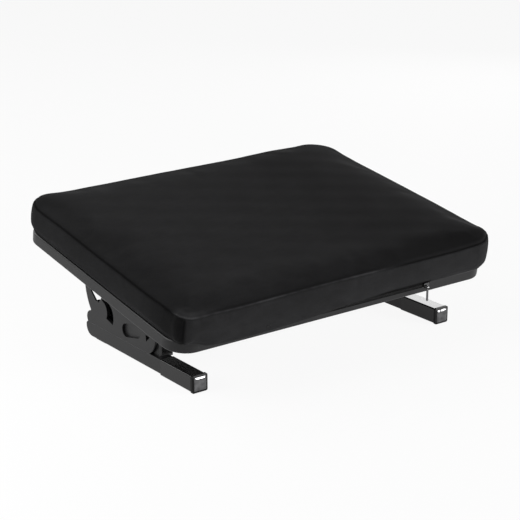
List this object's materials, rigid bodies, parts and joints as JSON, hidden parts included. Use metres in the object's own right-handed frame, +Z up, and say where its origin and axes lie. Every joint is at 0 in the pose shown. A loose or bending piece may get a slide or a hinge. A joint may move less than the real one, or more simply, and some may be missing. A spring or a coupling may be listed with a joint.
{
  "type": "footrest",
  "caption": "Cushioned office footrest: a zipped velvet pad on a moulded tray that tilts on a cross shaft between two pierced side legs with square front tubes.",
  "frame": {"origin": "on the floor, under the middle of the footrest's box", "axes": "+X across the footrest, -Y towards its low front edge with the zip, +Z up"},
  "size_m": [0.465, 0.3476, 0.1654],
  "materials": {
    "moulded_plastic": "satin",
    "plug_plastic": "gloss",
    "black_steel": "gloss",
    "bright_steel": "satin",
    "rubber": "matte",
    "bush_plastic": "satin",
    "velvet": "matte",
    "foam": "matte",
    "hook_and_loop": "matte",
    "zip_tape": "matte",
    "zip_coil": "satin",
    "zip_metal": "gloss"
  },
  "bodies": {
    "base": {"left_leg": "moulded_plastic", "right_leg": "moulded_plastic", "left_tube_plug": "plug_plastic", "right_tube_plug": "plug_plastic", "left_tube": "black_steel", "right_tube": "black_steel", "pivot_shaft": "bright_steel", "tie_rod": "bright_steel", "shaft_rings": "bright_steel", "tube_screws": "bright_steel", "front_feet": "rubber", "rear_feet": "rubber", "stop_sleeves": "rubber", "front_bumpers": "rubber"},
    "platform": {"tray": "moulded_plastic", "left_bracket": "black_steel", "right_bracket": "black_steel", "left_bush": "bush_plastic", "right_bush": "bush_plastic", "bracket_screws": "bright_steel", "hook_strips": "hook_and_loop"},
    "cushion": {"cushion_cover": "velvet", "foam_core": "foam", "loop_strips": "hook_and_loop", "zip_tapes": "zip_tape", "zip_chain": "zip_coil", "zip_stops": "zip_coil"},
    "zip_slider": {"zip_slider": "zip_metal"},
    "zip_pull": {"zip_pull": "zip_metal"}
  },
  "joints": [
    {"name": "platform_tilt", "type": "hinge", "parent": "base", "child": "platform", "pos_m": [0, 0.0634, 0.041], "axis": [-1, 0, 0], "range_deg": [0, 20]},
    {"name": "cushion_lift", "type": "slide", "parent": "platform", "child": "cushion", "axis": [0, -0.165, 0.9863], "range_m": [0, 0.08]},
    {"name": "zip_slider_travel", "type": "slide", "parent": "cushion", "child": "zip_slider", "axis": [-1, 0, 0], "range_m": [0, 0.22]},
    {"name": "zip_pull_swing", "type": "hinge", "parent": "zip_slider", "child": "zip_pull", "pos_m": [0.11105, -0.16985, 0.07232], "axis": [-1, 0, 0], "range_deg": [-20, 120]}
  ]
}
